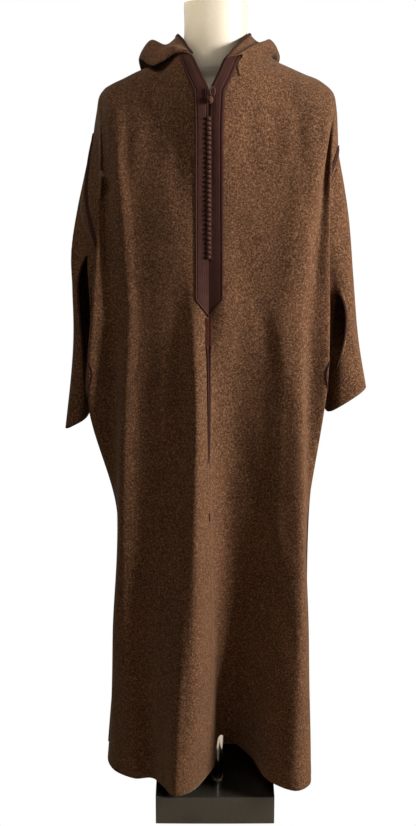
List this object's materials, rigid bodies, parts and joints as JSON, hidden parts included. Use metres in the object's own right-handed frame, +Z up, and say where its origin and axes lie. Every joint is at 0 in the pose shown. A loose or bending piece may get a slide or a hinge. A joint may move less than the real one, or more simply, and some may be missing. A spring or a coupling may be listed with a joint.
{
  "type": "djellaba robe on a dress form with a stand",
  "caption": "Ankle-length hooded wool djellaba with braided front bands and small knotted buttons, worn by a limbless dress form on a pole with a square block base.",
  "frame": {"origin": "centre of the base's underside, on the floor", "axes": "+Z up, -Y towards the front of the robe, +X towards the wearer's left"},
  "size_m": [0.6058, 0.365, 1.657],
  "materials": {
    "wool": "matt brown melange wool with a short nap",
    "braid": "dark aubergine brown silk braid, faintly lustrous",
    "form": "cream, satin",
    "chrome": "polished",
    "base": "gloss black lacquer"
  },
  "bodies": {
    "root": {"body_right": "wool", "body_left": "wool", "sleeve_right": "wool", "sleeve_left": "wool", "hood": "wool", "placket_band_right": "braid", "placket_band_left": "braid", "hood_edge_braid": "braid", "armhole_braid_right": "braid", "armhole_braid_left": "braid", "side_braid_front_right": "braid", "side_braid_back_right": "braid", "side_braid_front_left": "braid", "side_braid_back_left": "braid", "sleeve_slit_braid_right": "braid", "sleeve_slit_braid_left": "braid", "collar_knot": "braid", "button_01": "braid", "button_02": "braid", "button_03": "braid", "button_04": "braid", "button_05": "braid", "button_06": "braid", "button_07": "braid", "button_08": "braid", "button_09": "braid", "button_10": "braid", "button_11": "braid", "button_12": "braid", "button_13": "braid", "button_14": "braid", "button_15": "braid", "button_16": "braid", "button_17": "braid", "button_18": "braid", "button_19": "braid", "button_20": "braid", "button_21": "braid", "button_22": "braid", "button_23": "braid", "button_24": "braid", "button_25": "braid", "button_26": "braid", "button_27": "braid", "button_28": "braid", "button_29": "braid", "button_30": "braid", "dress_form": "form", "stand_pole": "chrome", "stand_base": "base"}
  },
  "joints": []
}
